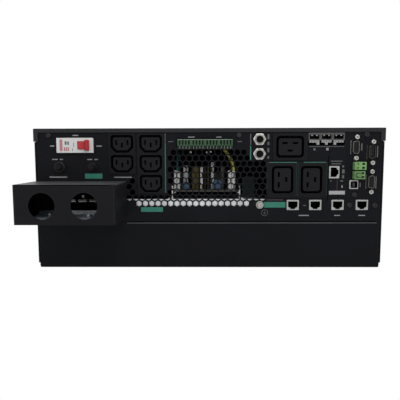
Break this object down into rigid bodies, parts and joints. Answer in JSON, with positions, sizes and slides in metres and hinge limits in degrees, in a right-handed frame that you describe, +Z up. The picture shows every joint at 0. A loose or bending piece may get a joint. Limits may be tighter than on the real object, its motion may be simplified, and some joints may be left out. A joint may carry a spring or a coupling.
{
  "type": "online uninterruptible power supply",
  "caption": "Rack or tower online uninterruptible power supply with a rear socket panel, perforated vent, wiring box, breakers and a front bezel with battery doors and display.",
  "frame": {"origin": "middle of the footprint on the floor, under the whole unit", "axes": "+Z up, -Y out of the rear socket panel, +Y out of the front bezel, +X to the right as the rear panel is looked at"},
  "size_m": [0.432, 0.719, 0.174],
  "materials": {
    "case_paint": "fine textured black powder coat",
    "panel_paint": "fine textured black powder coat",
    "box_paint": "fine textured black powder coat",
    "galvanised": "galvanised sheet, spangled",
    "plated_steel": "zinc-plated, semi-bright",
    "nickel_shell": "nickel-plated, semi-bright",
    "black_screw": "blackened",
    "socket_black": "moulded, fine matt",
    "breaker_white": "moulded, satin",
    "toggle_red": "moulded, satin",
    "button_black": "moulded",
    "signal_green": "moulded",
    "stop_green": "moulded",
    "insert_dark": "moulded",
    "contact_brass": "plated contact",
    "terminal_white": "moulded",
    "board_brown": "coated laminate",
    "board_green": "coated laminate",
    "film_yellow": "wrapped",
    "sleeve_white": "moulded",
    "disc_blue": "dipped",
    "choke_green": "taped",
    "wire_skin": "extruded insulation",
    "can_black": "sleeved",
    "heat_sink": "extruded",
    "fan_black": "moulded",
    "battery_grey": "moulded",
    "bezel_black": "fine texture",
    "display_black": "gloss",
    "screen": "clear window",
    "key_grey": "moulded"
  },
  "bodies": {
    "case": {"battery_doors": "bezel_black", "battery_packs": "battery_grey", "breaker_body": "breaker_white", "case_screws": "black_screw", "chassis_tray": "case_paint", "control_board": "board_green", "data_jacks": "nickel_shell", "dc_capacitors": "can_black", "display_module": "display_black", "display_screen": "screen", "earth_screw": "plated_steel", "fan_frames": "fan_black", "film_capacitors": "film_yellow", "filter_board": "board_brown", "filter_brackets": "plated_steel", "filter_choke": "choke_green", "filter_tray": "galvanised", "front_bezel": "bezel_black", "heat_sinks": "heat_sink", "hex_nuts": "plated_steel", "hook_up_wires": "wire_skin", "input_terminal_block": "terminal_white", "jack_screws": "plated_steel", "large_outlet_pair": "socket_black", "large_outlet_top": "socket_black", "main_board": "board_green", "mid_bulkhead": "galvanised", "network_card": "panel_paint", "outlet_block_left": "socket_black", "outlet_block_right": "socket_black", "port_shell": "nickel_shell", "port_tongues": "insert_dark", "power_chokes": "choke_green", "rear_panel": "panel_paint", "reset_breakers": "socket_black", "ring_nuts": "button_black", "serial_inserts": "insert_dark", "serial_shells": "nickel_shell", "signal_plugs": "signal_green", "socket_contacts": "contact_brass", "square_socket": "nickel_shell", "stop_plugs": "stop_green", "surge_discs": "disc_blue", "terminal_clamps": "plated_steel", "top_cover": "case_paint", "white_sleeves": "sleeve_white", "wiring_box_base": "galvanised", "wiring_box_body": "box_paint", "wiring_box_cover": "box_paint"},
    "toggle": {"breaker_lever": "toggle_red"},
    "reset_left": {"reset_button_left": "button_black"},
    "reset_right": {"reset_button_right": "button_black"},
    "reset_upper": {"reset_button_upper": "button_black"},
    "reset_lower": {"reset_button_lower": "button_black"},
    "rotor_left": {"fan_rotor_left": "fan_black"},
    "rotor_right": {"fan_rotor_right": "fan_black"},
    "menu_left": {"menu_key_left": "key_grey"},
    "menu_middle": {"menu_key_middle": "key_grey"},
    "menu_right": {"menu_key_right": "key_grey"},
    "power": {"power_key": "key_grey"}
  },
  "joints": [
    {"name": "breaker_toggle", "type": "hinge", "parent": "case", "child": "toggle", "pos_m": [-0.155, -0.289, 0.1534], "axis": [0, 0, 1], "range_deg": [-76, 0]},
    {"name": "reset_left_push", "type": "slide", "parent": "case", "child": "reset_left", "axis": [0, -1, 0], "range_m": [0, 0.003]},
    {"name": "reset_right_push", "type": "slide", "parent": "case", "child": "reset_right", "axis": [0, -1, 0], "range_m": [0, 0.003]},
    {"name": "reset_upper_push", "type": "slide", "parent": "case", "child": "reset_upper", "axis": [0, -1, 0], "range_m": [0, 0.003]},
    {"name": "reset_lower_push", "type": "slide", "parent": "case", "child": "reset_lower", "axis": [0, -1, 0], "range_m": [0, 0.003]},
    {"name": "fan_left_spin", "type": "hinge", "parent": "case", "child": "rotor_left", "pos_m": [-0.095, -0.0165, 0.088], "axis": [0, 1, 0], "continuous": true},
    {"name": "fan_right_spin", "type": "hinge", "parent": "case", "child": "rotor_right", "pos_m": [0.095, -0.0165, 0.088], "axis": [0, 1, 0], "continuous": true},
    {"name": "menu_left_push", "type": "slide", "parent": "case", "child": "menu_left", "axis": [0, -1, 0], "range_m": [0, 0.001], "stiffness_N_per_m": 600, "springref_m": -0.001},
    {"name": "menu_middle_push", "type": "slide", "parent": "case", "child": "menu_middle", "axis": [0, -1, 0], "range_m": [0, 0.001], "stiffness_N_per_m": 600, "springref_m": -0.001},
    {"name": "menu_right_push", "type": "slide", "parent": "case", "child": "menu_right", "axis": [0, -1, 0], "range_m": [0, 0.001], "stiffness_N_per_m": 600, "springref_m": -0.001},
    {"name": "power_push", "type": "slide", "parent": "case", "child": "power", "axis": [0, -1, 0], "range_m": [0, 0.001], "stiffness_N_per_m": 600, "springref_m": -0.001}
  ]
}
